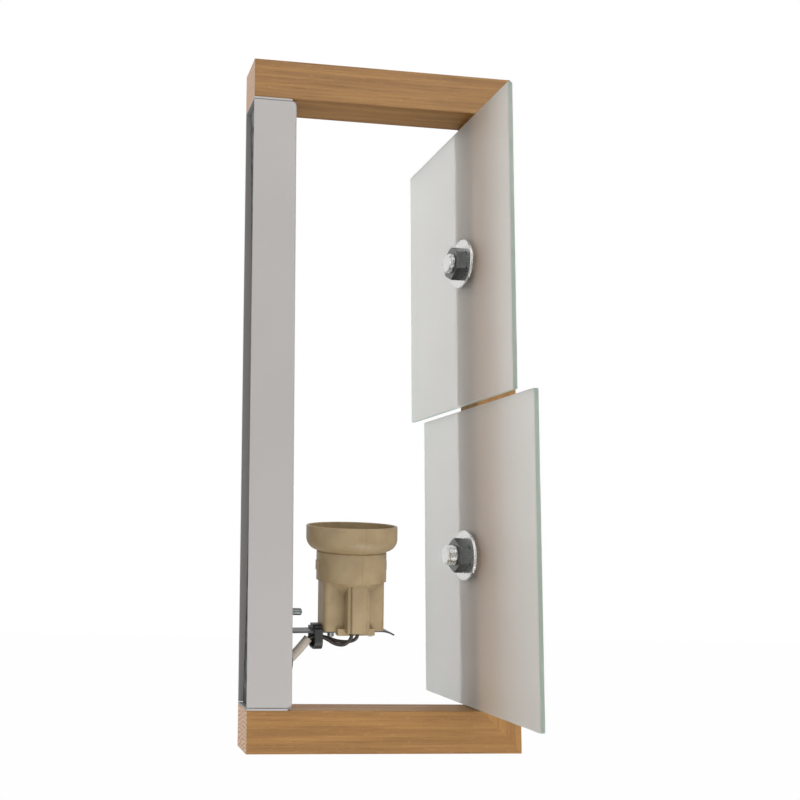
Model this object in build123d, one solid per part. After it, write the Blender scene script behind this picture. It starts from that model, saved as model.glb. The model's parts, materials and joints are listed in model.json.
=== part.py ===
"""Wall light with a wooden frame, a folded steel tray, two glass panels and an E27 lampholder.

Millimetres. The wall is the plane Y = 0 and the light stands out from it towards -Y.
+Z is up, X runs along the wall, and the origin is on the wall at the middle of the height.
"""

import math
import os
from build123d import *

# Wooden frame
FRAME_HEIGHT = 410.0
FRAME_DEPTH = 163.0
WOOD = 24.0
ARRIS = 0.5
DOWEL_R = 3.0
DOWEL_LENGTH = 20.0
DOWEL_END_ROOM = 0.5

# Folded tray between the bars
SHEET = 1.2
TRAY_DEPTH = 26.5
BEND_R = 2.0
FOLD_GAP = 0.4
CORNER_CUT = 2.5
RELIEF = 2.4

# Bowed hanging strip across the tray's open back
BAR_WIDTH = 16.0
BAR_SHEET = 1.5
BAR_INSET_END = 1.9
BAR_INSET_MIDDLE = 4.4
BAR_FOOT = 21.0
BAR_BEND_R = 1.0
SLOT_FROM_BAR = 51.0
SLOT_LENGTH = 12.0
SLOT_R = 2.75
BAR_EYE_R = 2.25
BAR_EYE_FROM_BAR = 16.0

# Wood screws through strip, tray and bar
WOOD_SCREW_R = 1.7
WOOD_SCREW_LENGTH = 16.0
WOOD_SCREW_POINT = 4.0
WOOD_SCREW_HEAD_R = 3.4
WOOD_SCREW_HEAD = 2.2
WOOD_SCREW_BACK = 8.0
WOOD_SCREW_PITCH = 9.0
CLEARANCE_HOLE_R = 2.1
RUNNING_FIT = 0.05

# Glass panels
GLASS_WIDTH = 144.0
GLASS_SHEET = 3.0
GLASS_EDGE = 0.4
GLASS_STAGGER = 11.0
GLASS_TOP_ROOM = 4.0
GLASS_BOTTOM_ROOM = 1.0
GLASS_SPLIT = 3.0
PAD_SHEET = 0.5
PAD_R = 11.0

# Stud, sleeve, washer and nut of each panel
STUD_R = 6.0
STUD_IN_WOOD = 18.0
STUD_CHAMFER = 0.8
UPPER_STUD_PROUD = 2.8
LOWER_STUD_PROUD = 5.5
SLEEVE_SHEET = 1.0
NUT_FLATS = 18.0
NUT_HEIGHT = 6.0
NUT_CHAMFER = 0.9
WASHER_R = 15.0
WASHER_SHEET = 1.5
WASHER_BORE_R = 6.5

# Lampholder bracket and how it hangs on its one screw, heights counted from the bottom bar
STRIP_WIDTH = 12.0
STRIP_SHEET = 1.0
STRIP_BEND_R = 1.5
STRIP_UP = 44.1
STRIP_REACH = 53.5
STRIP_TIP_DROP = 2.4
STRIP_TIP = 8.5
FOOT_UP = 62.0
ARM_RISE_DEG = 1.4
ARM_LEAN_DEG = 6.0
BRACKET_SCREW_UP = 54.7
BRACKET_SCREW_PROUD = 7.9

# Metric screws of the lampholder
M4_R = 2.0
M4_HEAD_R = 3.5
M4_HEAD = 2.4
M4_CLEARANCE_R = 2.2
HOLDER_SCREW_PITCH = 24.0
HOLDER_SCREW_BELOW = 4.4
HOLDER_SCREW_SEAT = 6.0

# Lampholder mouldings, heights counted from the top of the strip
HOLDER_FROM_WALL = 64.4
BLOCK_WIDTH = 36.4
BLOCK_THICK = 16.0
BASE_HEIGHT = 29.0
CONE_HEIGHT = 10.0
BARREL_R = 18.2
BARREL_HEIGHT = 14.0
COLUMN_WIDTH = 13.2
COLUMN_REACH = 16.2
RIB_WIDTH = 9.0
RIB_PROUD = 1.4
LEG_WIDTH = 22.0
LEG_DROP = 1.9
LEG_THICK = 5.0
STRIP_ROOM = 0.3
BASE_FLOOR = 22.0
SOCKET_LEDGE = 27.0
SKIRT_R = 20.2
SKIRT_WALL = 1.7
SKIRT_HEIGHT = 17.4
RIM_R = 26.3
RIM_WALL = 1.5
COLLAR_HEIGHT = 14.6
COLLAR_STRAIGHT = 7.4
WAIST_GROOVE = 0.5
GRIP_PROUD = 0.6
GRIP_HEIGHT = 6.0
GRIP_WIDTH = 5.0

# Lamp socket
SOCKET_R = 13.35
SOCKET_WALL = 0.4
SOCKET_LIP = 0.7
SOCKET_HEIGHT = 18.5
MOULD_GAP = 0.3
CONTACT_SHEET = 0.5
CONTACT_WIDTH = 6.0
CONTACT_LENGTH = 14.0
CONTACT_RISE = 4.0
CONTACT_ROOM = 1.0
TERMINAL_WIDTH = 3.4
TERMINAL_HEIGHT = 8.0
TERMINAL_Z = 8.0

# Wires, cable, tie, grommet and terminal block
CABLE_R = 2.6
WIRE_R = 1.0
WIRE_HOLE_R = 1.3
WIRE_PITCH = 3.4
WIRE_OUT = 11.2
WIRE_IN_COLUMN = 5.0
GROMMET_HOLE_R = 5.6
GROMMET_LIP = 1.3
GROMMET_BORE_R = 3.4
GROMMET_UP = 26.4
TIE_FROM_WALL = 43.3
TIE_WIDTH = 4.6
TIE_BAND = 1.1
TIE_DROP = 9.8
TIE_SIDE_ROOM = 0.5
TIE_HEAD = (5.6, 4.8, 3.4)
BLOCK_TERMINAL_UP = 63.0
BLOCK_TERMINAL_LENGTH = 17.0
BLOCK_TERMINAL_WIDTH = 19.0
BLOCK_TERMINAL_HEIGHT = 14.0
BLOCK_BORE_R = 1.9

# Route of the cable's centre, as distance from the wall and height above the bottom bar
CABLE_ROUTE = [
    (38.6, 39.4),
    (32.4, 32.2),
    (26.0, 25.8),
    (15.9, 25.0),
    (8.7, 32.1),
    (8.6, 42.4),
    (11.4, 53.4),
    (14.0, 63.0),
]

# Routes of the two wires up to the lampholder, counted in the same way after X
WIRE_ROUTE_NEAR = [
    (-1.3, 38.6, 39.4),
    (-1.8, 43.6, 41.4),
    (-2.6, 48.6, 39.6),
    (-5.0, 53.2, 36.6),
    (-8.6, 57.6, 36.4),
]
WIRE_ROUTE_FAR = [
    (1.3, 38.6, 39.4),
    (1.1, 43.8, 41.2),
    (0.1, 49.4, 40.2),
    (-2.8, 55.2, 38.2),
    (-7.2, 60.6, 38.2),
]

# Sizes that follow from those above
INNER_HEIGHT = FRAME_HEIGHT - 2 * WOOD
HALF_INNER = INNER_HEIGHT / 2
POST_BACK = FRAME_DEPTH - WOOD
GLASS_OUTER = POST_BACK - PAD_SHEET
GLASS_INNER = GLASS_OUTER - GLASS_SHEET
WASHER_FACE = GLASS_INNER - WASHER_SHEET
NUT_FACE = WASHER_FACE - NUT_HEIGHT
GLASS_HEIGHT = (INNER_HEIGHT - GLASS_TOP_ROOM - GLASS_BOTTOM_ROOM - GLASS_SPLIT) / 2
UPPER_GLASS_Z = HALF_INNER - GLASS_TOP_ROOM - GLASS_HEIGHT / 2
LOWER_GLASS_Z = UPPER_GLASS_Z - GLASS_HEIGHT - GLASS_SPLIT
SLEEVE_BORE_R = STUD_R + RUNNING_FIT
SLEEVE_R = SLEEVE_BORE_R + SLEEVE_SHEET
RING_BOTTOM = BASE_HEIGHT
RING_TOP = RING_BOTTOM + SKIRT_HEIGHT
HOLDER_TOP = RING_TOP + COLLAR_HEIGHT
SOCKET_OUTER_R = SOCKET_R + SOCKET_WALL
BASE_BORE_R = SOCKET_OUTER_R + MOULD_GAP
STRIP_TOP_AT_TRAY = STRIP_UP - HALF_INNER
FOOT_TOP = FOOT_UP - HALF_INNER
BRACKET_SCREW_Z = BRACKET_SCREW_UP - HALF_INNER
GROMMET_Z = GROMMET_UP - HALF_INNER
BLOCK_TERMINAL_Z = BLOCK_TERMINAL_UP - HALF_INNER

LEAN = Pos(0, 0, BRACKET_SCREW_Z) * Rot(0, -ARM_LEAN_DEG, 0) * Pos(0, 0, -BRACKET_SCREW_Z)
ARM = LEAN * Pos(0, -TRAY_DEPTH, STRIP_TOP_AT_TRAY) * Rot(-ARM_RISE_DEG, 0, 0)
HOLDER = ARM * Pos(0, -(HOLDER_FROM_WALL - TRAY_DEPTH), 0)


def box(x, y, z):
    """A box between two values on each axis."""
    size = (x[1] - x[0], y[1] - y[0], z[1] - z[0])
    return Pos((x[0] + x[1]) / 2, (y[0] + y[1]) / 2, (z[0] + z[1]) / 2) * Box(*size)


def prism(points, width):
    """A side profile, given as distance from the wall and height, drawn out along X."""
    outline = [Vector(0, -depth, height) for depth, height in points]
    face = make_face(Polyline(*outline, close=True))
    return extrude(face, amount=width / 2, dir=(1, 0, 0), both=True)


def rod(radius, length, place, turn=(0, 0, 0)):
    """A round rod whose foot is at the place, standing along Z before the turn."""
    return Pos(*place) * Rot(*turn) * extrude(Circle(radius), amount=length)


def out_rod(radius, start, end, x=0.0, z=0.0):
    """A round rod along Y between two distances from the wall."""
    return rod(radius, end - start, (x, -start, z), (90, 0, 0))


def turned(points):
    """A profile of radius and height, turned about Z."""
    outline = [Vector(radius, 0, height) for radius, height in points]
    return revolve(make_face(Polyline(*outline, close=True)), Axis.Z)


def long_edges(shape, axis, limit):
    """The straight edges along an axis that are longer than the limit."""
    edges = shape.edges().filter_by(axis)
    return [edge for edge in edges if edge.length > limit]


def dowel_place(side):
    """Where the dowel of the upper or lower mitre starts, and how it is turned."""
    middle = Vector(0, -(FRAME_DEPTH - WOOD / 2), side * (FRAME_HEIGHT - WOOD) / 2)
    return Pos(middle) * Rot(-side * 45 if side > 0 else 45 + 180, 0, 0)


def corner_dowel(side, radius, length):
    """A dowel square to the mitre, half of it in each bar."""
    upright = Pos(0, 0, -length / 2) * extrude(Circle(radius), amount=length)
    return dowel_place(side) * upright


def stud_hole(height):
    """The blind hole in the post for one panel's stud."""
    return out_rod(STUD_R + RUNNING_FIT, POST_BACK - 1, POST_BACK + STUD_IN_WOOD + 0.5, z=height)


def wood_screw_places():
    """Distances from the wall of the two wood screws at each end of the tray."""
    return [WOOD_SCREW_BACK, WOOD_SCREW_BACK + WOOD_SCREW_PITCH]


def pilot_holes(side):
    """The holes in a bar for the wood screws."""
    start = side * (HALF_INNER - 1)
    depth = WOOD_SCREW_LENGTH - SHEET - BAR_SHEET + 1.5
    turn = (0, 0, 0) if side > 0 else (180, 0, 0)
    radius = WOOD_SCREW_R + RUNNING_FIT
    return [rod(radius, depth, (0, -place, start), turn) for place in wood_screw_places()]


def frame_bar(side):
    """The top or bottom bar, square at the wall and mitred at the front."""
    outer = side * FRAME_HEIGHT / 2
    inner = side * HALF_INNER
    bar = prism([(0, outer), (FRAME_DEPTH, outer), (POST_BACK, inner), (0, inner)], WOOD)
    bar = fillet(long_edges(bar, Axis.Y, WOOD), ARRIS)
    bar -= corner_dowel(side, DOWEL_R + RUNNING_FIT, DOWEL_LENGTH + 2 * DOWEL_END_ROOM)
    for hole in pilot_holes(side):
        bar -= hole
    return bar


def front_post():
    """The front post, mitred at both ends and bored for the studs."""
    outer = FRAME_HEIGHT / 2
    corners = [
        (FRAME_DEPTH, outer),
        (POST_BACK, HALF_INNER),
        (POST_BACK, -HALF_INNER),
        (FRAME_DEPTH, -outer),
    ]
    post = prism(corners, WOOD)
    post = fillet(long_edges(post, Axis.Z, WOOD), ARRIS)
    for side in (1, -1):
        post -= corner_dowel(side, DOWEL_R + RUNNING_FIT, DOWEL_LENGTH + 2 * DOWEL_END_ROOM)
    for height in (UPPER_GLASS_Z, LOWER_GLASS_Z):
        post -= stud_hole(height)
    return post


def corner_dowels():
    """The two hidden dowels that hold the mitres."""
    return [corner_dowel(side, DOWEL_R, DOWEL_LENGTH) for side in (1, -1)]


def tray_channel():
    """The web and the two side flanges, with cut front corners at both ends."""
    half = WOOD / 2
    end = HALF_INNER - SHEET - FOLD_GAP
    outer = box((-half, half), (-TRAY_DEPTH, 0), (-end, end))
    outer = fillet([e for e in long_edges(outer, Axis.Z, WOOD) if e.center().Y < -1], BEND_R)
    wall = half - SHEET
    inner = box((-wall, wall), (-(TRAY_DEPTH - SHEET), 1), (-end - 1, end + 1))
    inner_edges = [e for e in long_edges(inner, Axis.Z, WOOD) if e.center().Y < -1]
    inner = fillet(inner_edges, BEND_R - SHEET)
    channel = outer - inner
    for side in (1, -1):
        tip = side * (end + 0.5)
        notch = [
            (TRAY_DEPTH + 0.5, tip),
            (TRAY_DEPTH + 0.5, tip - side * (CORNER_CUT + 1)),
            (TRAY_DEPTH - CORNER_CUT - 0.5, tip),
        ]
        channel -= prism(notch, WOOD + 2)
    return channel


def tray_end(side):
    """One end flange with its bend from the web and its relief notches."""
    half = WOOD / 2
    tongue = half - RELIEF
    top = side * HALF_INNER
    low = side * (HALF_INNER - SHEET)
    root = side * (HALF_INNER - SHEET - FOLD_GAP - CORNER_CUT - 1.5)
    corner = box((-tongue, tongue), (-TRAY_DEPTH, -(TRAY_DEPTH - 6)), sorted((root, top)))
    hollow = box(
        (-half, half),
        (-(TRAY_DEPTH - SHEET), 0),
        sorted((root - side, low)),
    )
    outer_edge = [
        e
        for e in corner.edges().filter_by(Axis.X)
        if e.center().Y < -(TRAY_DEPTH - 1) and abs(e.center().Z) > HALF_INNER - 0.5
    ]
    inner_edge = [
        e
        for e in hollow.edges().filter_by(Axis.X)
        if e.center().Y < -(TRAY_DEPTH - 2) and abs(e.center().Z) > HALF_INNER - 2
    ]
    bend = fillet(outer_edge, BEND_R) - fillet(inner_edge, BEND_R - SHEET)
    plate = box((-half, half), (-(TRAY_DEPTH - RELIEF - 0.6), 0), sorted((low, top)))
    return bend + plate


def wall_tray():
    """The folded tray with its holes for screws and cable."""
    tray = tray_channel() + tray_end(1) + tray_end(-1)
    for side in (1, -1):
        foot = side * (HALF_INNER - 2 * SHEET)
        turn = (0, 0, 0) if side > 0 else (180, 0, 0)
        for place in wood_screw_places():
            tray -= rod(CLEARANCE_HOLE_R, 3 * SHEET, (0, -place, foot), turn)
    tray -= out_rod(M4_CLEARANCE_R, TRAY_DEPTH - 2, TRAY_DEPTH + 1, z=BRACKET_SCREW_Z)
    tray -= out_rod(GROMMET_HOLE_R, TRAY_DEPTH - 2, TRAY_DEPTH + 1, z=GROMMET_Z)
    return tray


def bar_face(back):
    """Points and arcs of the hanging strip's side: its bowed length and two feet."""
    end = HALF_INNER - SHEET
    front_end = end - BAR_SHEET
    outer = ThreePointArc((0, -back, end), (0, -BAR_INSET_MIDDLE, 0), (0, -back, -end))
    inner = ThreePointArc(
        (0, -back - BAR_SHEET, front_end),
        (0, -BAR_INSET_MIDDLE - BAR_SHEET, 0),
        (0, -back - BAR_SHEET, -front_end),
    )
    upper = Polyline(
        (0, -back, end),
        (0, -BAR_FOOT, end),
        (0, -BAR_FOOT, front_end),
        (0, -back - BAR_SHEET, front_end),
    )
    lower = Polyline(
        (0, -back, -end),
        (0, -BAR_FOOT, -end),
        (0, -BAR_FOOT, -front_end),
        (0, -back - BAR_SHEET, -front_end),
    )
    return make_face([outer, upper, inner, lower])


def slot_cutter(height):
    """An upright slot for a wall screw."""
    centres = SLOT_LENGTH - 2 * SLOT_R
    profile = Rot(90, 0, 0) * Rot(0, 0, 90) * SlotCenterToCenter(centres, 2 * SLOT_R)
    return Pos(0, 1, height) * extrude(profile, amount=12, dir=(0, -1, 0))


def wall_bar():
    """The bowed strip that hangs on the wall screws, with bent feet at both ends."""
    bar = extrude(bar_face(BAR_INSET_END), amount=BAR_WIDTH / 2, dir=(1, 0, 0), both=True)
    back_corner = [
        e
        for e in bar.edges().filter_by(Axis.X)
        if e.center().Y > -(BAR_INSET_END + 0.2) and abs(e.center().Z) > HALF_INNER - 2
    ]
    bar = fillet(back_corner, BAR_BEND_R + 0.4)
    foot_corners = [
        e
        for e in bar.edges().filter_by(Axis.Z)
        if e.center().Y < -(BAR_FOOT - 0.1)
    ]
    bar = fillet(foot_corners, BAR_BEND_R * 2)
    for side in (1, -1):
        turn = (0, 0, 0) if side > 0 else (180, 0, 0)
        foot = side * (HALF_INNER - SHEET - 2 * BAR_SHEET)
        for place in wood_screw_places():
            bar -= rod(CLEARANCE_HOLE_R, 3 * BAR_SHEET, (0, -place, foot), turn)
        bar -= slot_cutter(side * (HALF_INNER - SLOT_FROM_BAR))
        bar -= out_rod(BAR_EYE_R, -1, 12, z=side * (HALF_INNER - BAR_EYE_FROM_BAR))
    return bar


def wood_screw(side, place):
    """A pan-head wood screw with its head on the strip's foot."""
    seat = HALF_INNER - SHEET - BAR_SHEET
    straight = WOOD_SCREW_LENGTH - WOOD_SCREW_POINT
    profile = [
        (0, -WOOD_SCREW_HEAD),
        (WOOD_SCREW_HEAD_R * 0.6, -WOOD_SCREW_HEAD),
        (WOOD_SCREW_HEAD_R, -WOOD_SCREW_HEAD * 0.45),
        (WOOD_SCREW_HEAD_R, 0),
        (WOOD_SCREW_R, 0),
        (WOOD_SCREW_R, straight),
        (0, WOOD_SCREW_LENGTH),
    ]
    turn = (0, 0, 0) if side > 0 else (180, 0, 0)
    cross = box((-0.35, 0.35), (-2, 2), (-WOOD_SCREW_HEAD - 1, -WOOD_SCREW_HEAD * 0.5))
    cross += Rot(0, 0, 90) * cross
    return Pos(0, -place, side * seat) * Rot(*turn) * (turned(profile) - cross)


def frame_screws():
    """The four wood screws that hold strip and tray to the bars."""
    return [wood_screw(side, place) for side in (1, -1) for place in wood_screw_places()]


def glass_panel(height, stagger):
    """A glass panel with ground edges and a hole for its sleeve."""
    half = GLASS_WIDTH / 2
    panel = box(
        (stagger - half, stagger + half),
        (-GLASS_OUTER, -GLASS_INNER),
        (height - GLASS_HEIGHT / 2, height + GLASS_HEIGHT / 2),
    )
    panel = fillet(panel.edges().filter_by(Axis.Y), 2 * GLASS_EDGE)
    rims = panel.faces().filter_by(Axis.Y).edges()
    panel = chamfer(rims, GLASS_EDGE)
    return panel - out_rod(SLEEVE_R, GLASS_INNER - 1, GLASS_OUTER + 1, z=height)


def glass_sleeve(height):
    """The plastic sleeve that turns on the stud inside the glass."""
    sleeve = out_rod(SLEEVE_R, GLASS_INNER, GLASS_OUTER, z=height)
    return sleeve - out_rod(SLEEVE_BORE_R, GLASS_INNER - 1, GLASS_OUTER + 1, z=height)


def glass_pad(height):
    """The thin clear pad between glass and post."""
    pad = out_rod(PAD_R, GLASS_OUTER, POST_BACK, z=height)
    return pad - out_rod(WASHER_BORE_R, GLASS_OUTER - 1, POST_BACK + 1, z=height)


def washer(height):
    """The wide flat washer on the glass."""
    ring = out_rod(WASHER_R, WASHER_FACE, GLASS_INNER, z=height)
    ring = chamfer(ring.edges().group_by(Axis.Y)[-1], WASHER_SHEET * 0.25)
    return ring - out_rod(WASHER_BORE_R, WASHER_FACE - 1, GLASS_INNER + 1, z=height)


def hex_nut(height):
    """A thin hexagon nut, chamfered on both faces, with two corners up and down."""
    corner = NUT_FLATS / 2 / math.cos(math.pi / 6)
    body = extrude(RegularPolygon(corner, 6, rotation=30), amount=NUT_HEIGHT)
    cone_low = corner - NUT_CHAMFER
    cone = turned(
        [
            (0, 0),
            (cone_low, 0),
            (corner + 0.01, NUT_CHAMFER * 0.55),
            (corner + 0.01, NUT_HEIGHT - NUT_CHAMFER * 0.55),
            (cone_low, NUT_HEIGHT),
            (0, NUT_HEIGHT),
        ]
    )
    body = body & cone
    body -= extrude(Circle(STUD_R + RUNNING_FIT), amount=NUT_HEIGHT)
    return Pos(0, -NUT_FACE, height) * Rot(90, 0, 0) * body


def stud(height, proud):
    """A stud from the blind hole in the post to just past its nut."""
    start = NUT_FACE - proud
    piece = out_rod(STUD_R, start, POST_BACK + STUD_IN_WOOD, z=height)
    return chamfer(piece.edges().filter_by(GeomType.CIRCLE), STUD_CHAMFER)


def arm_path():
    """The bracket's middle line, from the foot's top round the bend to the drooping tip."""
    middle = STRIP_SHEET / 2
    angle = math.radians(ARM_RISE_DEG)
    rise = math.tan(angle)
    drop = middle * math.cos(angle) - middle * (1 - math.sin(angle)) * rise
    foot = Vector(0, -TRAY_DEPTH - middle, FOOT_TOP)
    elbow = Vector(0, -TRAY_DEPTH - middle, STRIP_TOP_AT_TRAY - drop)
    knee = elbow + Vector(0, -STRIP_REACH, STRIP_REACH * rise)
    run = FilletPolyline(foot, elbow, knee, radius=STRIP_BEND_R)
    tip = knee + Vector(0, -STRIP_TIP, STRIP_TIP * rise - STRIP_TIP_DROP)
    droop = TangentArc(knee, tip, tangent=run % 1)
    return run + droop


def holder_bracket():
    """The bent strip with its foot on the tray and the holes for its screws."""
    path = arm_path()
    start = Plane(origin=path @ 0, x_dir=(1, 0, 0), z_dir=path % 0)
    strip = sweep(start * Rectangle(STRIP_WIDTH, STRIP_SHEET), path=path)
    strip = fillet(strip.edges().filter_by(Axis.Y).group_by(Axis.Z)[-1], 3.0)
    strip -= out_rod(M4_R + RUNNING_FIT, TRAY_DEPTH - 1, TRAY_DEPTH + 3, z=BRACKET_SCREW_Z)
    strip = LEAN * strip
    for side in (1, -1):
        place = (0, side * HOLDER_SCREW_PITCH / 2, -3)
        strip -= HOLDER * rod(M4_CLEARANCE_R, 6, place)
    return strip


def pan_screw(length):
    """A pan-head machine screw with a cross recess, its head above Z = 0 and shank below."""
    profile = [
        (0, M4_HEAD),
        (M4_HEAD_R * 0.6, M4_HEAD),
        (M4_HEAD_R, M4_HEAD * 0.45),
        (M4_HEAD_R, 0),
        (M4_R, 0),
        (M4_R, -length + 0.5),
        (M4_R - 0.5, -length),
        (0, -length),
    ]
    cross = box((-0.4, 0.4), (-2.1, 2.1), (M4_HEAD * 0.5, M4_HEAD + 1))
    cross += Rot(0, 0, 90) * cross
    return turned(profile) - cross


def bracket_screw():
    """The screw from inside the tray into the bracket's foot, with its end standing proud."""
    seat = TRAY_DEPTH - SHEET
    length = SHEET + BRACKET_SCREW_PROUD
    return Pos(0, -seat, BRACKET_SCREW_Z) * Rot(90, 0, 0) * Rot(180, 0, 0) * pan_screw(length)


def holder_screws():
    """The two screws that hold the lampholder's base down on the strip."""
    length = HOLDER_SCREW_SEAT + HOLDER_SCREW_BELOW
    places = [Pos(0, side * HOLDER_SCREW_PITCH / 2, HOLDER_SCREW_SEAT) for side in (1, -1)]
    return [HOLDER * place * pan_screw(length) for place in places]


def base_column(side):
    """One wire column on the broad side of the base, with its raised rib."""
    half = COLUMN_WIDTH / 2
    rib = RIB_WIDTH / 2
    x = sorted((0, side * (COLUMN_REACH - RIB_PROUD)))
    column = box(x, (-half, half), (0, BASE_HEIGHT))
    column = fillet(
        [e for e in column.edges().filter_by(Axis.Z) if abs(e.center().X) > 1], 1.0
    )
    ridge = box(sorted((0, side * COLUMN_REACH)), (-rib, rib), (0, BASE_HEIGHT))
    ridge = fillet([e for e in ridge.edges().filter_by(Axis.Z) if abs(e.center().X) > 1], 0.8)
    return column + ridge


def base_legs():
    """The two ledges beside the strip that keep the base from turning on it."""
    near = STRIP_WIDTH / 2 + STRIP_ROOM
    half = LEG_WIDTH / 2
    legs = Part()
    for side in (1, -1):
        x = sorted((side * near, side * (near + LEG_THICK - STRIP_ROOM)))
        legs += box(x, (-half, half), (-LEG_DROP, 2))
    return legs


def wire_places():
    """X and Y of the wires' entries in the near column, from the lampholder's axis."""
    return [(-WIRE_OUT, WIRE_PITCH / 2 + 1.2), (-WIRE_OUT, -WIRE_PITCH / 2 + 1.2)]


def terminal_pocket(place):
    """The pocket above a wire's entry that takes its terminal."""
    half = TERMINAL_WIDTH / 2
    low = TERMINAL_Z
    pocket = box((-half, half), (-half + 0.2, half - 0.2), (low, low + TERMINAL_HEIGHT))
    return Pos(place[0], place[1], 0) * pocket


def contact_well():
    """The well below the socket's ledge that holds the centre contact clear of the lamp's cap."""
    half_x = CONTACT_LENGTH / 2 + CONTACT_ROOM
    half_y = CONTACT_WIDTH / 2 + CONTACT_ROOM
    return box((-half_x, half_x), (-half_y, half_y), (BASE_FLOOR, SOCKET_LEDGE + 1))


def holder_base():
    """The lampholder's base: block, cone, barrel, columns and ledges, bored for its parts."""
    half_x = BLOCK_THICK / 2
    half_y = BLOCK_WIDTH / 2
    block = box((-half_x, half_x), (-half_y, half_y), (0, BASE_HEIGHT))
    block = fillet(block.edges().filter_by(Axis.Z), 3.0)
    top = BASE_HEIGHT + BARREL_HEIGHT
    cone_r = BARREL_R - CONE_HEIGHT
    profile = [
        (0, BASE_HEIGHT - CONE_HEIGHT),
        (cone_r, BASE_HEIGHT - CONE_HEIGHT),
        (BARREL_R, BASE_HEIGHT),
        (BARREL_R, top),
        (0, top),
    ]
    base = block + turned(profile) + base_column(1) + base_column(-1) + base_legs()
    base -= rod(BASE_BORE_R, top - SOCKET_LEDGE + 1, (0, 0, SOCKET_LEDGE))
    base -= contact_well()
    for side in (1, -1):
        y = side * HOLDER_SCREW_PITCH / 2
        base -= rod(M4_CLEARANCE_R, HOLDER_SCREW_SEAT + 4, (0, y, -3))
        base -= rod(M4_HEAD_R + 0.3, top, (0, y, HOLDER_SCREW_SEAT))
    for place in wire_places():
        base -= rod(WIRE_HOLE_R, TERMINAL_Z + 2, (*place, -2))
        base -= terminal_pocket(place)
    return HOLDER * base


def collar_outline():
    """Half section of the collar and skirt, as lines and arcs in the XZ plane."""
    inner_skirt = SKIRT_R - SKIRT_WALL
    roof = BASE_HEIGHT + BARREL_HEIGHT + MOULD_GAP
    bore = BASE_BORE_R + 0.6
    shoulder = HOLDER_TOP - COLLAR_STRAIGHT
    waist = RING_TOP
    outer_arc = ThreePointArc(
        (SKIRT_R, 0, waist),
        (SKIRT_R + (RIM_R - SKIRT_R) * 0.72, 0, waist + (shoulder - waist) * 0.36),
        (RIM_R, 0, shoulder),
    )
    inner_rim = RIM_R - RIM_WALL
    throat = roof + 2.2
    inner_arc = ThreePointArc(
        (inner_rim, 0, shoulder + 0.6),
        (inner_rim - 3.4, 0, throat + 2.3),
        (bore + 3.0, 0, throat),
    )
    outside = Polyline(
        (inner_skirt, 0, RING_BOTTOM),
        (SKIRT_R, 0, RING_BOTTOM),
        (SKIRT_R, 0, waist - 2 * WAIST_GROOVE),
        (SKIRT_R - WAIST_GROOVE, 0, waist - WAIST_GROOVE),
        (SKIRT_R, 0, waist),
    )
    rim = Polyline(
        (RIM_R, 0, shoulder),
        (RIM_R, 0, HOLDER_TOP - 0.4),
        (RIM_R - 0.4, 0, HOLDER_TOP),
        (inner_rim + 0.4, 0, HOLDER_TOP),
        (inner_rim, 0, HOLDER_TOP - 0.4),
        (inner_rim, 0, shoulder + 0.6),
    )
    inside = Polyline(
        (bore + 3.0, 0, throat),
        (bore, 0, throat),
        (bore, 0, roof),
        (inner_skirt, 0, roof),
        (inner_skirt, 0, RING_BOTTOM),
    )
    return make_face([outside, outer_arc, rim, inner_arc, inside])


def holder_cup():
    """The flared collar and skirt that close the lampholder, with two grips on the skirt."""
    cup = revolve(collar_outline(), Axis.Z)
    middle = (RING_BOTTOM + RING_TOP) / 2
    for side in (1, -1):
        y = sorted((side * (SKIRT_R - 1), side * (SKIRT_R + GRIP_PROUD)))
        half = GRIP_WIDTH / 2
        grip = box((-half, half), y, (middle - GRIP_HEIGHT / 2, middle + GRIP_HEIGHT / 2))
        outer = [e for e in grip.edges().filter_by(Axis.X) if abs(e.center().Y) > SKIRT_R]
        cup += fillet(outer, GRIP_PROUD * 0.9)
    return HOLDER * cup


def socket_shell():
    """The plain sleeve of the lamp socket, its foot lip seated on the base's ledge."""
    low = SOCKET_LEDGE
    high = low + SOCKET_HEIGHT
    inner_lip = SOCKET_R - SOCKET_LIP
    profile = [
        (inner_lip, low),
        (SOCKET_OUTER_R, low),
        (SOCKET_OUTER_R, high),
        (SOCKET_R, high),
        (SOCKET_R, low + SOCKET_WALL),
        (inner_lip, low + SOCKET_WALL),
    ]
    return HOLDER * turned(profile)


def centre_contact():
    """The springy strip that meets the lamp's tip, flat at one end on the floor of its well."""
    low = BASE_FLOOR + CONTACT_SHEET / 2
    half = CONTACT_LENGTH / 2
    path = FilletPolyline(
        (0, -half, low),
        (0, -half * 0.2, low),
        (0, half * 0.45, low + CONTACT_RISE),
        (0, half, low + CONTACT_RISE * 0.6),
        radius=1.2,
    )
    start = Plane(origin=path @ 0, x_dir=(1, 0, 0), z_dir=path % 0)
    strip = sweep(start * Rectangle(CONTACT_WIDTH, CONTACT_SHEET), path=path)
    return HOLDER * Rot(0, 0, 90) * strip


def wire_terminals():
    """The two brass cages in the near column."""
    cages = []
    for place in wire_places():
        half = TERMINAL_WIDTH / 2 - 0.3
        low = TERMINAL_Z
        high = low + TERMINAL_HEIGHT - 0.3
        cage = box((-half, half), (-half + 0.2, half - 0.2), (low, high))
        cage -= rod(WIRE_R + RUNNING_FIT, WIRE_IN_COLUMN, (0, 0, low - 1))
        cages.append(HOLDER * Pos(place[0], place[1], 0) * cage)
    return cages


def tangent_radii(points):
    """Radius of each corner: 0.45 of the shorter run over the tangent of half the turn."""
    radii = []
    for before, corner, after in zip(points, points[1:], points[2:]):
        first = corner - before
        second = after - corner
        half_turn = math.radians(first.get_angle(second)) / 2
        shorter = min(first.length, second.length)
        radii.append(0.45 * shorter / math.tan(half_turn))
    return radii


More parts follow.
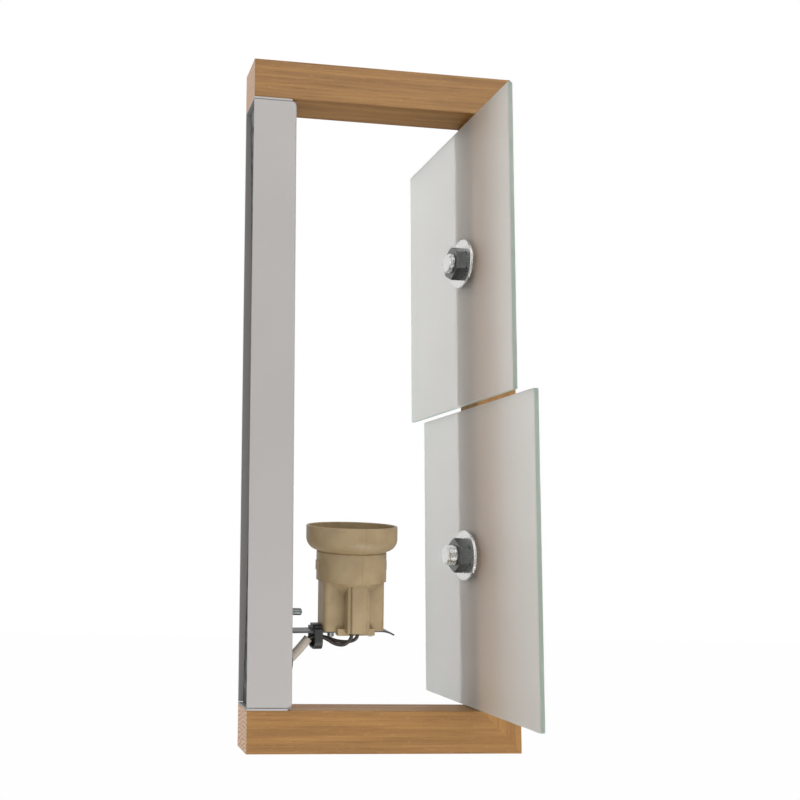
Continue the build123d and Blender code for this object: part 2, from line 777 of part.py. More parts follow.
def round_tube(name, points, radius):
    """A tube of straight runs and tangent arcs through a route, checked by its volume."""
    radii = tangent_radii(points)
    path = FilletPolyline(*points, radius=radii)
    start = Plane(origin=path @ 0, z_dir=path % 0)
    tube = sweep(start * Circle(radius), path=path)
    expected = math.pi * radius**2 * path.length
    print(name, "length", round(path.length, 1), "radii", [round(r, 1) for r in radii])
    print(name, "volume over section times length", round(tube.volume / expected, 4))
    return tube


def supply_cable():
    """The sheathed cable from the terminal block through the grommet to its cut sheath."""
    points = [Vector(0, -depth, up - HALF_INNER) for depth, up in CABLE_ROUTE]
    return round_tube("supply_cable", points, CABLE_R)


def wire(name, route, place):
    """One insulated wire from the sheath's end up into the lampholder."""
    points = [Vector(x, -depth, up - HALF_INNER) for x, depth, up in route]
    for height in (-3.6, TERMINAL_Z - 1):
        spot = HOLDER * Pos(place[0], place[1], height)
        points.append(spot.position)
    return round_tube(name, points, WIRE_R)


def cable_grommet():
    """The rubber grommet that clips into the tray's cable hole."""
    outer = GROMMET_HOLE_R + GROMMET_LIP
    front = TRAY_DEPTH + GROMMET_LIP
    back = TRAY_DEPTH - SHEET - GROMMET_LIP
    ring = out_rod(GROMMET_HOLE_R, back, front, z=GROMMET_Z)
    for low, high in ((back, back + GROMMET_LIP), (front - GROMMET_LIP, front)):
        lip = out_rod(outer, low, high, z=GROMMET_Z)
        ring += lip
    return ring - out_rod(GROMMET_BORE_R, back - 1, front + 1, z=GROMMET_Z)


def cable_tie():
    """The tie round strip and wires, with its head on top and its cut tail."""
    half = STRIP_WIDTH / 2 + TIE_SIDE_ROOM
    top = 0.1
    low = -TIE_DROP
    band = box(
        (-half - TIE_BAND, half + TIE_BAND),
        (-TIE_WIDTH / 2, TIE_WIDTH / 2),
        (low - TIE_BAND, top + TIE_BAND),
    )
    band = fillet([e for e in band.edges().filter_by(Axis.Y) if e.center().Z < -1], 5.0)
    hole = box((-half, half), (-TIE_WIDTH, TIE_WIDTH), (low, top))
    hole = fillet([e for e in hole.edges().filter_by(Axis.Y) if e.center().Z < -1], 4.0)
    width, depth, height = TIE_HEAD
    head = box((-width / 2, width / 2), (-depth / 2, depth / 2), (top, top + height))
    tail = box((-width / 2 - 3, 0), (-TIE_WIDTH / 2 + 0.6, TIE_WIDTH / 2 - 0.6), (top + 1.4, top + 2.4))
    return ARM * Pos(0, -(TIE_FROM_WALL - TRAY_DEPTH), 0) * (band - hole + head + tail)


def terminal_block():
    """The two-way block inside the tray where the supply and the cable meet."""
    low = BLOCK_TERMINAL_Z
    high = low + BLOCK_TERMINAL_LENGTH
    seat = TRAY_DEPTH - SHEET
    half = BLOCK_TERMINAL_WIDTH / 2
    block = box((-half, half), (-seat, -(seat - BLOCK_TERMINAL_HEIGHT)), (low, high))
    waist = box((-1.5, 1.5), (-(seat - 3), 0), (low - 1, high + 1))
    block -= waist
    block = fillet([e for e in block.edges().filter_by(Axis.Z) if abs(e.center().X) > half - 1], 1.5)
    for side in (1, -1):
        x = side * half * 0.55
        block -= rod(BLOCK_BORE_R, BLOCK_TERMINAL_LENGTH + 2, (x, -(seat - 6), low - 1))
        for height in (low + 4, high - 4):
            block -= out_rod(BLOCK_BORE_R, 0, seat - 6, x=x, z=height)
    return block


def save(name, shape):
    """Write one named piece, or several like solids as one file."""
    if isinstance(shape, list):
        solids = [solid for piece in shape for solid in piece.solids()]
    else:
        solids = shape.solids()
    whole = solids[0] if len(solids) == 1 else Compound(children=solids)
    export_step(whole, f"parts/{name}.step")


def main():
    """Make every piece and write its file."""
    os.makedirs("parts", exist_ok=True)
    near, far = wire_places()
    save("top_bar", frame_bar(1))
    save("bottom_bar", frame_bar(-1))
    save("front_post", front_post())
    save("corner_dowels", corner_dowels())
    save("wall_tray", wall_tray())
    save("wall_bar", wall_bar())
    save("frame_screws", frame_screws())
    panels = (
        ("upper", UPPER_GLASS_Z, GLASS_STAGGER, UPPER_STUD_PROUD),
        ("lower", LOWER_GLASS_Z, -GLASS_STAGGER, LOWER_STUD_PROUD),
    )
    for name, height, stagger, proud in panels:
        save(f"{name}_glass", glass_panel(height, stagger))
        save(f"{name}_sleeve", glass_sleeve(height))
        save(f"{name}_pad", glass_pad(height))
        save(f"{name}_washer", washer(height))
        save(f"{name}_nut", hex_nut(height))
        save(f"{name}_stud", stud(height, proud))
    save("holder_bracket", holder_bracket())
    save("bracket_screw", bracket_screw())
    save("holder_screws", holder_screws())
    save("holder_base", holder_base())
    save("holder_cup", holder_cup())
    save("socket_shell", socket_shell())
    save("centre_contact", centre_contact())
    save("wire_terminals", wire_terminals())
    save("supply_cable", supply_cable())
    save("near_wire", wire("near_wire", WIRE_ROUTE_NEAR, near))
    save("far_wire", wire("far_wire", WIRE_ROUTE_FAR, far))
    save("cable_grommet", cable_grommet())
    save("cable_tie", cable_tie())
    save("terminal_block", terminal_block())


main()
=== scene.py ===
"""Wall light with an oak frame, a powder-coated tray, two frosted glass panels and a lampholder."""

import json
import math

import bpy
from mathutils import Matrix, Vector


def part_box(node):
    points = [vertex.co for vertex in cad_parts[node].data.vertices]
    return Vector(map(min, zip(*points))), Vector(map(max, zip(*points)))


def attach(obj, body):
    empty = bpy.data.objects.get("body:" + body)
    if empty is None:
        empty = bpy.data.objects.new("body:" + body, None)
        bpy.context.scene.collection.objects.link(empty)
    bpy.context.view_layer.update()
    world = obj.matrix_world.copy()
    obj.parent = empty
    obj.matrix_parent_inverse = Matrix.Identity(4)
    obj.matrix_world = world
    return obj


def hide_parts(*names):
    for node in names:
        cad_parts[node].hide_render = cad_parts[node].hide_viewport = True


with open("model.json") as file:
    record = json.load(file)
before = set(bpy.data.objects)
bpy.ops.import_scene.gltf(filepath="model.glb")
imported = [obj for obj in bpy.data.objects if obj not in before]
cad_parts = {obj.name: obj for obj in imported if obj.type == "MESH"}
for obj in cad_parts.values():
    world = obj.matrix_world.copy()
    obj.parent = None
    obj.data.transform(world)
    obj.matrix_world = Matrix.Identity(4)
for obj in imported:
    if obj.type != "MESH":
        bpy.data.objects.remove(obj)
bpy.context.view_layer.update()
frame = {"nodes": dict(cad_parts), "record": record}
MM = 0.001

# Sizes of the threads, in millimetres
M12_PITCH = 1.75
M12_ROOT_R = 5.0
M12_CREST_R = 6.0
M12_CHAMFER = 0.9
M4_PITCH = 0.7
M4_RIDGE = 0.16
M4_R = 2.0
BRACKET_THREAD_FROM_WALL = 27.4
BRACKET_THREAD = 6.2
HOLDER_THREAD_BELOW = 1.3
HOLDER_THREAD = 2.4
SOCKET_PITCH = 3.62
SOCKET_WAVE = 0.45
SOCKET_MEAN_R = 13.2
SOCKET_SHEET = 0.4
SOCKET_FOOT = 27.0
SOCKET_HEIGHT = 18.5

# Fineness of the threads' meshes
STUD_AROUND = 64
STUD_STEPS_PER_TURN = 8
SOCKET_AROUND = 96
SOCKET_STEPS = 60
RIDGE_STEPS_PER_TURN = 28
RIDGE_SIDES = 4

# A rod's thread rises past its crest by this factor and is cut off there, so its crests are flat
CREST_CUT = 1.25

# Edges that turn by less than this many degrees are shaded smooth
SMOOTH_BELOW = 40.0
RIDGE_SMOOTH_BELOW = 80.0

# Place of the lampholder: the bracket leans about its screw and rises a little from the tray
SCREW_HEIGHT = -126.3
ARM_LEAN = 6.0
ARM_RISE = 1.4
TRAY_DEPTH = 26.5
STRIP_TOP = -136.9
HOLDER_FROM_WALL = 64.4
HOLDER_SCREW_OUT = 12.0
SEAM_FOOT = -108.0

# Camera, in millimetres and degrees
CAMERA_PLACE = (-541.9, 115.7, -90.7)
CAMERA_YAW = -6.801
CAMERA_PITCH = 6.033
CAMERA_ROLL = 1.318
CAMERA_LENS = 42.22
CAMERA_SENSOR = 36.0
CAMERA_SHIFT = (0.30, 0.06)

# Growth rings of the oak, in millimetres
RING_WIDTH = 2.3
RING_WANDER = 9.0

# Studio, in metres and watts. Each lamp has its place, size and power
FLOOR_HALF = 6.0
FLOOR_HEIGHT = -0.70
FLOOR_SEEN_WHITE = 0.985
SOFT_LIGHT = 0.55
LAMPS = {
    "key": ((-0.9, -0.5, 1.1), 1.0, 9),
    "fill": ((-1.2, 1.0, -0.1), 1.2, 3),
    "under": ((-0.3, -0.2, -0.68), 0.7, 5),
}


# Node sheets

class Link:
    """An output socket of a node sheet that Python's operators work on."""

    def __init__(self, sheet, socket):
        self.sheet = sheet
        self.socket = socket

    def maths(self, operation, *others):
        """A Math node whose first value is this socket."""
        values = dict(enumerate((self, *others)))
        return self.sheet.add("ShaderNodeMath", {"operation": operation}, values)

    def __add__(self, other):
        return self.maths("ADD", other)

    def __sub__(self, other):
        return self.maths("SUBTRACT", other)

    def __rsub__(self, other):
        return self.sheet.add("ShaderNodeMath", {"operation": "SUBTRACT"}, {0: other, 1: self})

    def __mul__(self, other):
        return self.maths("MULTIPLY", other)

    def __truediv__(self, other):
        return self.maths("DIVIDE", other)

    def __pow__(self, other):
        return self.maths("POWER", other)

    def __abs__(self):
        return self.maths("ABSOLUTE")

    __radd__ = __add__
    __rmul__ = __mul__


class Sheet:
    """A node tree with one method for any node."""

    def __init__(self, tree):
        self.tree = tree

    def add(self, kind, settings=None, sockets=None, out=0):
        """A node with its settings, then the values or links of its sockets."""
        node = self.tree.nodes.new(kind)
        for name, value in (settings or {}).items():
            setattr(node, name, value)
        for name, value in (sockets or {}).items():
            if isinstance(value, Link):
                self.tree.links.new(value.socket, node.inputs[name])
            else:
                node.inputs[name].default_value = value
        return Link(self, node.outputs[out]) if len(node.outputs) else node


class Finish(Sheet):
    """A material and the patterns that its surface is made from."""

    def __init__(self, name):
        self.material = bpy.data.materials.new(name)
        self.material.use_nodes = True
        super().__init__(self.material.node_tree)
        self.tree.nodes.clear()

    def place(self, move=(0, 0, 0)):
        """Object coordinates in millimetres, moved for the piece."""
        coords = self.add("ShaderNodeTexCoord", out="Object")
        mapping = {"Vector": coords, "Scale": (1 / MM, 1 / MM, 1 / MM), "Location": move}
        return self.add("ShaderNodeMapping", None, mapping)

    def axis(self, vector, name):
        return self.add("ShaderNodeSeparateXYZ", None, {0: vector}, out=name)

    def facing(self, name):
        """How squarely the surface faces along an axis, either way, from 0 to 1."""
        return abs(self.axis(self.add("ShaderNodeTexCoord", out="Normal"), name))

    def stretched(self, vector, factors):
        sockets = {0: vector, 1: factors}
        return self.add("ShaderNodeVectorMath", {"operation": "MULTIPLY"}, sockets)

    def noise(self, vector, scale, detail=3.0, rough=0.5):
        sockets = {"Vector": vector, "Scale": scale, "Detail": detail, "Roughness": rough}
        return self.add("ShaderNodeTexNoise", None, sockets, out="Fac")

    def cells(self, vector, scale):
        sockets = {"Vector": vector, "Scale": scale}
        return self.add("ShaderNodeTexVoronoi", None, sockets, out="Color")

    def span(self, value, low, high):
        """0 below the low value and 1 above the high one, eased between them."""
        sockets = {0: value, 1: low, 2: high}
        return self.add("ShaderNodeMapRange", {"interpolation_type": "SMOOTHSTEP"}, sockets)

    def mix(self, factor, first, second):
        sockets = {0: factor, 6: first, 7: second}
        return self.add("ShaderNodeMix", {"data_type": "RGBA"}, sockets, out=2)

    def bump(self, height, distance, strength):
        sockets = {"Height": height, "Distance": distance * MM, "Strength": strength}
        return self.add("ShaderNodeBump", None, sockets)

    def close(self, **sockets):
        """The Principled surface. Spaces in its sockets' names are written as underscores."""
        names = {key.replace("_", " "): value for key, value in sockets.items()}
        shader = self.add("ShaderNodeBsdfPrincipled", None, names)
        self.add("ShaderNodeOutputMaterial", None, {"Surface": shader})
        return self.material


def colour(red, green, blue):
    """A colour as the eye reads it, from 0 to 255, made linear."""
    parts = [value / 255 for value in (red, green, blue)]
    return (*[v / 12.92 if v <= 0.04045 else ((v + 0.055) / 1.055) ** 2.4 for v in parts], 1)


# Finishes

def oak(name, along, heart):
    """Oiled oak, its grain along one axis and its rings about a heart off to the side, in mm."""
    finish = Finish(name)
    point = finish.place(move=heart)
    across = [axis for axis in "XYZ" if axis != along]
    fine = tuple(0.05 if axis == along else 2.6 for axis in "XYZ")
    wide = tuple(0.004 if axis == along else 0.09 for axis in "XYZ")
    fleck = tuple(0.3 if axis == along else 0.9 for axis in "XYZ")
    first, second = (finish.axis(point, axis) for axis in across)
    wander = finish.noise(finish.stretched(point, wide), 1.0, 2.0)
    radius = (first * first + second * second) ** 0.5 + wander * RING_WANDER
    late = finish.span((radius / RING_WIDTH).maths("FRACT"), 0.55, 0.98)
    pores = finish.span(finish.noise(finish.stretched(point, fine), 1.0, 4.0, 0.62), 0.50, 0.74)
    tone = finish.noise(finish.stretched(point, wide), 2.2, 3.0)
    spark = finish.span(finish.noise(finish.stretched(point, fleck), 1.0, 2.0), 0.60, 0.72)
    body = finish.mix(finish.span(tone, 0.35, 0.65), colour(161, 117, 59), colour(140, 98, 46))
    ringed = finish.mix(late * 0.24, body, colour(116, 76, 38))
    pored = finish.mix(pores * 0.42, ringed, colour(92, 58, 30))
    flecked = finish.mix(spark * 0.16, pored, colour(196, 150, 98))
    end = finish.span(finish.facing(along), 0.75, 0.95)
    end_body = finish.mix(late, colour(240, 206, 180), colour(196, 148, 112))
    surface = finish.mix(end, flecked, end_body)
    height = 1 - (pores * 0.8 + late * 0.25)
    rough = 0.54 + pores * 0.2 + end * 0.12
    return finish.close(
        Base_Color=surface, Roughness=rough, Normal=finish.bump(height, 0.12, 0.5)
    )


def beech():
    """The mitre dowels' plain pale wood."""
    finish = Finish("dowel_beech")
    point = finish.place()
    grain = finish.noise(finish.stretched(point, (2.0, 0.3, 0.3)), 1.0)
    return finish.close(
        Base_Color=finish.mix(grain, colour(214, 184, 146), colour(188, 150, 110)), Roughness=0.55
    )


def powder_coat():
    """Satin white powder coat, with its orange peel. Its colour is set to a grey well below white,
    as painted shade for the shade its near side stands in.
    """
    finish = Finish("tray_paint")
    point = finish.place()
    peel = finish.noise(point, 0.9, 2.0)
    cloud = finish.noise(point, 0.02, 3.0)
    speck = finish.span(finish.noise(point, 0.5, 1.0), 0.74, 0.78)
    # Painted shade: both tones of the coat are greys darkened from white, for the shade on the
    # tray's near side
    shade_darkened_paint = finish.mix(cloud, colour(178, 174, 172), colour(170, 166, 164))
    marked = finish.mix(speck * 0.35, shade_darkened_paint, colour(176, 170, 162))
    return finish.close(
        Base_Color=marked, Roughness=0.34 + cloud * 0.12, Normal=finish.bump(peel, 0.03, 0.35)
    )


def galvanised():
    """Galvanised strip, mottled in flakes of zinc."""
    finish = Finish("zinc_strip")
    point = finish.place()
    flakes = finish.axis(finish.cells(finish.stretched(point, (1, 1, 0.7)), 0.42), "X")
    stain = finish.noise(point, 0.12, 4.0)
    zinc = finish.mix(flakes, colour(70, 76, 82), colour(124, 129, 131))
    dull = finish.mix(finish.span(stain, 0.42, 0.66), zinc, colour(42, 47, 52))
    return finish.close(
        Base_Color=dull,
        Metallic=0.85,
        Roughness=0.34 + flakes * 0.2,
        Normal=finish.bump(flakes, 0.02, 0.4),
    )


def zinc_plate(name, light, dark, rough):
    """Zinc-plated steel, faintly uneven and dulled in patches."""
    finish = Finish(name)
    point = finish.place()
    grain = finish.noise(point, 1.2, 2.0)
    patch = finish.noise(point, 0.35, 3.0)
    return finish.close(
        Base_Color=finish.mix(patch, light, dark),
        Metallic=1.0,
        Roughness=rough + grain * 0.14,
        Normal=finish.bump(grain, 0.006, 0.15),
    )


def frosted_glass():
    """Satin-frosted float glass, clear green at its ground edges."""
    finish = Finish("frosted_glass")
    point = finish.place()
    edge = 1 - finish.span(finish.facing("Y"), 0.45, 0.75)
    grain = finish.noise(point, 2.4, 2.0)
    veil = finish.noise(point, 0.02, 2.0)
    face = finish.mix(veil, colour(240, 239, 236), colour(235, 234, 231))
    return finish.close(
        Base_Color=finish.mix(edge, face, colour(170, 206, 192)),
        Roughness=0.52 + grain * 0.08 - edge * 0.25,
        Transmission_Weight=0.94,
        IOR=1.5,
        Normal=finish.bump(grain, 0.01, 0.2),
    )


def clear_plastic():
    """The sleeves and pads between glass and metal."""
    finish = Finish("clear_plastic")
    haze = finish.noise(finish.place(), 0.5, 2.0)
    return finish.close(
        Base_Color=finish.mix(haze, colour(232, 232, 230), colour(220, 222, 220)),
        Roughness=0.18 + haze * 0.12,
        Transmission_Weight=0.7,
        IOR=1.46,
    )


def moulding():
    """Beige moulded plastic, with the line where the two halves of the mould met."""
    finish = Finish("holder_plastic")
    point = finish.place()
    height = finish.axis(point, "Z")
    rise = (height - STRIP_TOP) * math.tan(math.radians(ARM_RISE))
    depth = finish.axis(point, "Y") + HOLDER_FROM_WALL - rise
    mottle = finish.noise(point, 0.09, 4.0)
    grain = finish.noise(point, 1.8, 3.0)
    above_base = finish.span(height, SEAM_FOOT - 0.5, SEAM_FOOT)
    seam = (1 - finish.span(abs(depth), 0.08, 0.30)) * above_base
    body = finish.mix(finish.span(mottle, 0.35, 0.68), colour(160, 140, 106), colour(148, 127, 95))
    lined = finish.mix(seam * 0.4, body, colour(116, 98, 72))
    relief = grain * 0.5 + seam * 2.0
    return finish.close(
        Base_Color=lined, Roughness=0.40 + grain * 0.14, Normal=finish.bump(relief, 0.03, 0.35)
    )


def brass():
    """Nickelled brass of the socket and its contacts."""
    finish = Finish("socket_brass")
    patch = finish.noise(finish.place(), 0.4, 3.0)
    return finish.close(
        Base_Color=finish.mix(patch, colour(214, 204, 172), colour(188, 174, 138)),
        Metallic=1.0,
        Roughness=0.24 + patch * 0.16,
    )


def soft_cover(name, light, dark, rough):
    """Sheath, insulation, rubber or nylon, faintly uneven."""
    finish = Finish(name)
    point = finish.place()
    streak = finish.noise(finish.stretched(point, (1.0, 0.5, 1.0)), 0.8, 3.0)
    return finish.close(
        Base_Color=finish.mix(streak, light, dark),
        Roughness=rough + streak * 0.12,
        Normal=finish.bump(streak, 0.04, 0.3),
    )


FINISHES = {
    "top_bar": oak("oak_top", "Y", (38, 0, -130)),
    "bottom_bar": oak("oak_bottom", "Y", (9, 0, 232)),
    "front_post": oak("oak_post", "Z", (55, 205, 0)),
    "dowel_beech": beech(),
    "tray_paint": powder_coat(),
    "zinc_strip": galvanised(),
    "bright_steel": zinc_plate("bright_steel", colour(226, 226, 224), colour(200, 200, 198), 0.2),
    "nut_steel": zinc_plate("nut_steel", colour(118, 120, 118), colour(82, 84, 84), 0.24),
    "dark_steel": zinc_plate("dark_steel", colour(96, 98, 98), colour(66, 68, 70), 0.34),
    "bracket_screw": zinc_plate("screw_steel", colour(150, 156, 154), colour(112, 118, 118), 0.3),
    "frosted_glass": frosted_glass(),
    "clear_plastic": clear_plastic(),
    "holder_plastic": moulding(),
    "socket_brass": brass(),
    "white_sheath": soft_cover("white_sheath", colour(186, 176, 164), colour(160, 150, 138), 0.46),
    "dark_insulation": soft_cover("dark_insulation", colour(58, 48, 44), colour(34, 28, 26), 0.38),
    "dark_rubber": soft_cover("dark_rubber", colour(46, 46, 46), colour(34, 34, 34), 0.62),
    "tie_nylon": soft_cover("tie_nylon", colour(34, 34, 34), colour(22, 22, 22), 0.42),
    "block_plastic": soft_cover("block_plastic", colour(228, 228, 222), colour(212, 212, 206), 0.4),
}


def dress_nodes():
    """Gives each CAD node the finish of its slot, or its own where the table has one."""
    own = {"upper_nut": "nut_steel", "lower_nut": "nut_steel"}
    slots = {part["node"]: part["material_slot"] for part in frame["record"]["subparts"]}
    for node, piece in frame["nodes"].items():
        key = node if node in FINISHES else own.get(node, slots[node])
        for slot in piece.material_slots:
            slot.material = FINISHES[key]


# Threads

def geometry_sheet(name, inputs):
    """A geometry node tree with named inputs, each with its kind, and links to them."""
    tree = bpy.data.node_groups.new(name, "GeometryNodeTree")
    for label, kind in inputs:
        tree.interface.new_socket(label, in_out="INPUT", socket_type=kind)
    tree.interface.new_socket("Geometry", in_out="OUTPUT", socket_type="NodeSocketGeometry")
    sheet = Sheet(tree)
    source = tree.nodes.new("NodeGroupInput")
    return sheet, {label: Link(sheet, source.outputs[label]) for label, kind in inputs}


def finish_sheet(sheet, geometry, material):
    """Ends a tree as every tree here ends."""
    real = sheet.add("GeometryNodeRealizeInstances", None, {0: geometry})
    dressed = sheet.add("GeometryNodeSetMaterial", None, {"Geometry": real, "Material": material})
    sheet.add("NodeGroupOutput", None, {0: dressed})
    return sheet.tree


def around_and_up(sheet):
    """Where a point of an upright form is: its X, Y, height and turn about the middle."""
    point = sheet.add("GeometryNodeInputPosition")
    x, y, z = (sheet.add("ShaderNodeSeparateXYZ", None, {0: point}, out=axis) for axis in "XYZ")
    return x, y, z, y.maths("ARCTAN2", x) / math.tau


def threaded_form(name, closed):
    """A round form whose wall rises and falls along a helix, as a rod or as an open tube."""
    floats = ["Length", "Root Radius", "Crest Radius", "Pitch", "Chamfer"]
    inputs = [(label, "NodeSocketFloat") for label in floats]
    inputs += [("Around", "NodeSocketInt"), ("Along", "NodeSocketInt")]
    inputs += [("Material", "NodeSocketMaterial")]
    sheet, given = geometry_sheet(name, inputs)
    form = {"fill_type": "NGON" if closed else "NONE"}
    sizes = {
        "Vertices": given["Around"],
        "Side Segments": given["Along"],
        "Radius": given["Crest Radius"],
        "Depth": given["Length"],
    }
    shape = sheet.add("GeometryNodeMeshCylinder", form, sizes)
    x, y, z, turn = around_and_up(sheet)
    phase = (z / given["Pitch"] - turn).maths("FRACT")
    if closed:
        rise = ((1 - abs(phase * 2 - 1)) * CREST_CUT).maths("MINIMUM", 1.0)
    else:
        rise = (phase * math.tau).maths("SINE") * 0.5 + 0.5
    depth = given["Crest Radius"] - given["Root Radius"]
    radius = given["Root Radius"] + depth * rise
    room = given["Length"] / 2 - abs(z)
    limit = given["Crest Radius"] - given["Chamfer"] + room
    ratio = radius.maths("MINIMUM", limit) / given["Crest Radius"]
    spot = sheet.add("ShaderNodeCombineXYZ", None, {0: x * ratio, 1: y * ratio, 2: z})
    moved = sheet.add("GeometryNodeSetPosition", None, {"Geometry": shape, "Position": spot})
    return finish_sheet(sheet, moved, given["Material"])


def ridge_form():
    """One sharp ridge wound round a rod, for the thread of a small screw."""
    floats = ["Radius", "Ridge", "Pitch", "Turns"]
    inputs = [(label, "NodeSocketFloat") for label in floats]
    inputs += [("Steps", "NodeSocketInt"), ("Material", "NodeSocketMaterial")]
    sheet, given = geometry_sheet("screw_ridge", inputs)
    winding = {
        "Resolution": given["Steps"],
        "Rotations": given["Turns"],
        "Start Radius": given["Radius"],
        "End Radius": given["Radius"],
        "Height": given["Pitch"] * given["Turns"],
    }
    helix = sheet.add("GeometryNodeCurveSpiral", None, winding)
    upright = sheet.add("GeometryNodeSetCurveNormal", {"mode": "Z_UP"}, {"Curve": helix})
    profile = {"Resolution": RIDGE_SIDES, "Radius": given["Ridge"]}
    section = sheet.add("GeometryNodeCurvePrimitiveCircle", None, profile)
    sweep = {"Curve": upright, "Profile Curve": section, "Fill Caps": True}
    wound = sheet.add("GeometryNodeCurveToMesh", None, sweep)
    return finish_sheet(sheet, wound, given["Material"])


def grown(name, tree, values, matrix, smooth_below=SMOOTH_BELOW):
    """The mesh that a tree makes, placed, as an object at the origin."""
    seed = bpy.data.objects.new(name + "_seed", bpy.data.meshes.new(name + "_seed"))
    bpy.context.collection.objects.link(seed)
    modifier = seed.modifiers.new("form", "NODES")
    modifier.node_group = tree
    keys = {item.name: item.identifier for item in tree.interface.items_tree}
    for label, value in values.items():
        modifier[keys[label]] = value
    bpy.context.view_layer.update()
    graph = bpy.context.evaluated_depsgraph_get()
    mesh = bpy.data.meshes.new_from_object(seed.evaluated_get(graph))
    seed.modifiers.remove(modifier)
    bpy.data.objects.remove(seed)
    mesh.transform(matrix)
    mesh.set_sharp_from_angle(angle=math.radians(smooth_below))
    piece = bpy.data.objects.new(name, mesh)
    bpy.context.collection.objects.link(piece)
    return piece


def holder_place():
    """The lampholder's own frame, its floor on the strip's top."""
    hinge = Matrix.Translation((0, 0, SCREW_HEIGHT * MM))
    lean = hinge @ Matrix.Rotation(math.radians(-ARM_LEAN), 4, "Y") @ hinge.inverted()
    foot = Matrix.Translation((0, -TRAY_DEPTH * MM, STRIP_TOP * MM))
    rise = Matrix.Rotation(math.radians(-ARM_RISE), 4, "X")
    reach = Matrix.Translation((0, -(HOLDER_FROM_WALL - TRAY_DEPTH) * MM, 0))
    return lean @ foot @ rise @ reach


def panel_studs(rod):
    """The two threaded studs that carry the glass."""
    for node in ("upper_stud", "lower_stud"):
        low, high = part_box(node)
        length = high.y - low.y
        middle = (low + high) / 2
        turn = Matrix.Rotation(math.radians(-90), 4, "X")
        values = {
            "Length": length,
            "Root Radius": M12_ROOT_R * MM,
            "Crest Radius": M12_CREST_R * MM,
            "Pitch": M12_PITCH * MM,
            "Chamfer": M12_CHAMFER * MM,
            "Around": STUD_AROUND,
            "Along": round(length / (M12_PITCH * MM) * STUD_STEPS_PER_TURN),
            "Material": FINISHES["bright_steel"],
        }
        piece = grown(node + "_thread", rod, values, Matrix.Translation(middle) @ turn)
        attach(piece, "root")
        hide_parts(node)


def socket_sleeve(tube):
    """The lamp socket's sleeve, with its round thread rolled in."""
    values = {
        "Length": SOCKET_HEIGHT * MM,
        "Root Radius": (SOCKET_MEAN_R - SOCKET_WAVE) * MM,
        "Crest Radius": (SOCKET_MEAN_R + SOCKET_WAVE) * MM,
        "Pitch": SOCKET_PITCH * MM,
        "Chamfer": 0.0,
        "Around": SOCKET_AROUND,
        "Along": SOCKET_STEPS,
        "Material": FINISHES["socket_brass"],
    }
    middle = Matrix.Translation((0, 0, (SOCKET_FOOT + SOCKET_HEIGHT / 2) * MM))
    piece = grown("socket_sleeve", tube, values, holder_place() @ middle)
    wall = piece.modifiers.new("wall", "SOLIDIFY")
    wall.thickness = SOCKET_SHEET * MM
    wall.offset = 0
    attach(piece, "root")
    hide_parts("socket_shell")


def screw_ridges(ridge):
    """Threads on the ends of the small screws that show."""
    holder = holder_place()
    down = Matrix.Rotation(math.pi, 4, "X")
    out = Matrix.Rotation(math.radians(90), 4, "X")
    start = Matrix.Translation((0, -BRACKET_THREAD_FROM_WALL * MM, SCREW_HEIGHT * MM))
    ends = {"bracket_screw_thread": (start @ out, BRACKET_THREAD, "dark_steel", "bracket_screw")}
    for side, label in ((1, "inner"), (-1, "outer")):
        foot = (0, side * HOLDER_SCREW_OUT * MM, -HOLDER_THREAD_BELOW * MM)
        place = holder @ Matrix.Translation(foot) @ down
        name = f"holder_screw_thread_{label}"
        ends[name] = (place, HOLDER_THREAD, "bright_steel", "bright_steel")
    for name, (place, length, slot, look) in ends.items():
        values = {
            "Radius": M4_R * MM,
            "Ridge": M4_RIDGE * MM,
            "Pitch": M4_PITCH * MM,
            "Turns": length / M4_PITCH,
            "Steps": RIDGE_STEPS_PER_TURN,
            "Material": FINISHES[look],
        }
        piece = grown(name, ridge, values, place, RIDGE_SMOOTH_BELOW)
        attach(piece, "root")


# Studio

def floor_paint():
    """White to the eye, and it keeps a faint shadow."""
    finish = Finish("floor")
    camera_ray = finish.add("ShaderNodeLightPath", out="Is Camera Ray")
    seen = finish.add("ShaderNodeEmission", None, {"Color": (1, 1, 1, 1), "Strength": 1.0})
    lit = finish.add("ShaderNodeBsdfDiffuse", None, {"Color": colour(236, 236, 234)})
    share = camera_ray * FLOOR_SEEN_WHITE
    both = finish.add("ShaderNodeMixShader", None, {0: share, 1: lit, 2: seen})
    finish.add("ShaderNodeOutputMaterial", None, {"Surface": both})
    return finish.material


def add_floor():
    """A square floor well below the light."""
    sides = ((-1, -1), (1, -1), (1, 1), (-1, 1))
    corners = [(x * FLOOR_HALF, y * FLOOR_HALF, FLOOR_HEIGHT) for x, y in sides]
    mesh = bpy.data.meshes.new("floor")
    mesh.from_pydata(corners, [], [(0, 1, 2, 3)])
    mesh.materials.append(floor_paint())
    floor = bpy.data.objects.new("floor", mesh)
    bpy.context.collection.objects.link(floor)


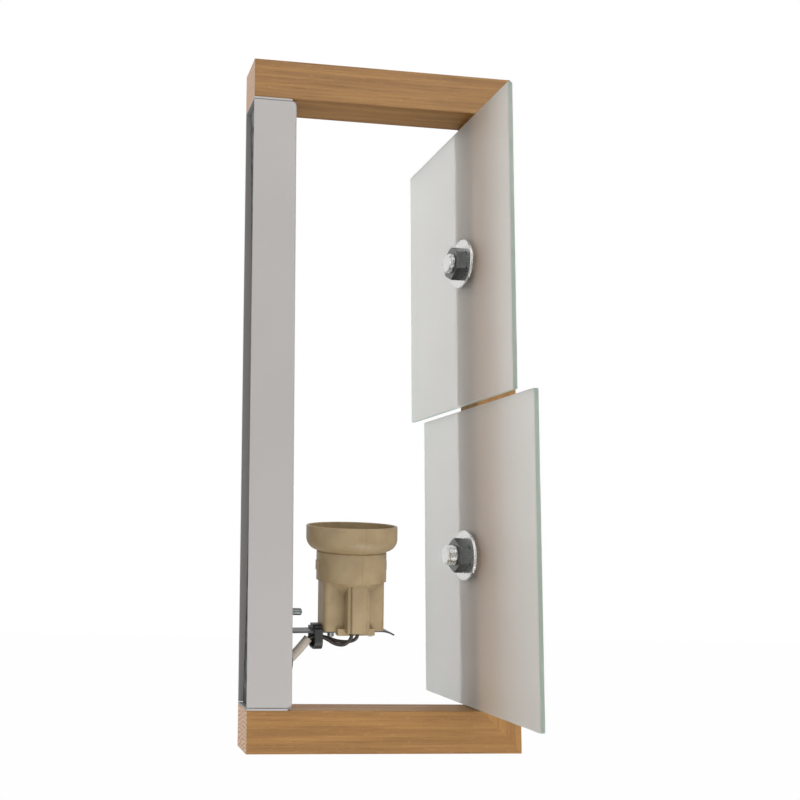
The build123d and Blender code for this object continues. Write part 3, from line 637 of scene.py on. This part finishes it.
def add_world():
    """White to the camera, in gloss and through glass, and an even soft light for the rest."""
    world = bpy.data.worlds.new("studio")
    bpy.context.scene.world = world
    world.use_nodes = True
    sheet = Sheet(world.node_tree)
    sheet.tree.nodes.clear()
    rays = [
        sheet.add("ShaderNodeLightPath", out=name)
        for name in ("Is Camera Ray", "Is Glossy Ray", "Is Transmission Ray")
    ]
    shown = rays[0].maths("MAXIMUM", rays[1].maths("MAXIMUM", rays[2]))
    soft = sheet.add("ShaderNodeBackground", None, {0: (1.0, 0.99, 0.98, 1), 1: SOFT_LIGHT})
    white = sheet.add("ShaderNodeBackground", None, {0: (1, 1, 1, 1), 1: 1.0})
    both = sheet.add("ShaderNodeMixShader", None, {0: shown, 1: soft, 2: white})
    sheet.add("ShaderNodeOutputWorld", None, {"Surface": both})


def add_lamp(name, place, size, power):
    """A square soft lamp that faces the middle of the light."""
    lamp = bpy.data.lights.new(name, "AREA")
    lamp.size = size
    lamp.energy = power
    holder = bpy.data.objects.new(name, lamp)
    holder.location = place
    holder.rotation_euler = (-Vector(place)).to_track_quat("-Z", "Y").to_euler()
    bpy.context.collection.objects.link(holder)


def add_camera():
    """The camera, looking along the wall and a little up, from behind the wall's plane."""
    yaw, pitch, roll = (math.radians(a) for a in (CAMERA_YAW, CAMERA_PITCH, CAMERA_ROLL))
    ahead = Vector((math.cos(yaw), math.sin(yaw), 0))
    right = Vector((math.sin(yaw), -math.cos(yaw), 0))
    up = Vector((0, 0, 1))
    tilted = ahead * math.cos(pitch) + up * math.sin(pitch)
    raised = up * math.cos(pitch) - ahead * math.sin(pitch)
    side = right * math.cos(roll) + raised * math.sin(roll)
    top = raised * math.cos(roll) - right * math.sin(roll)
    camera = bpy.data.objects.new("camera", bpy.data.cameras.new("camera"))
    camera.matrix_world = Matrix.Translation(Vector(CAMERA_PLACE) * MM) @ Matrix(
        (side, top, -tilted)
    ).transposed().to_4x4()
    camera.data.lens = CAMERA_LENS
    camera.data.sensor_width = CAMERA_SENSOR
    camera.data.shift_x, camera.data.shift_y = CAMERA_SHIFT
    camera.data.clip_start = 0.01
    bpy.context.collection.objects.link(camera)
    bpy.context.scene.camera = camera


dress_nodes()
panel_studs(threaded_form("threaded_rod", True))
socket_sleeve(threaded_form("threaded_sleeve", False))
screw_ridges(ridge_form())
add_floor()
add_world()
for name, (place, size, power) in LAMPS.items():
    add_lamp(name, place, size, power)
add_camera()
bpy.context.scene.view_settings.view_transform = "Standard"
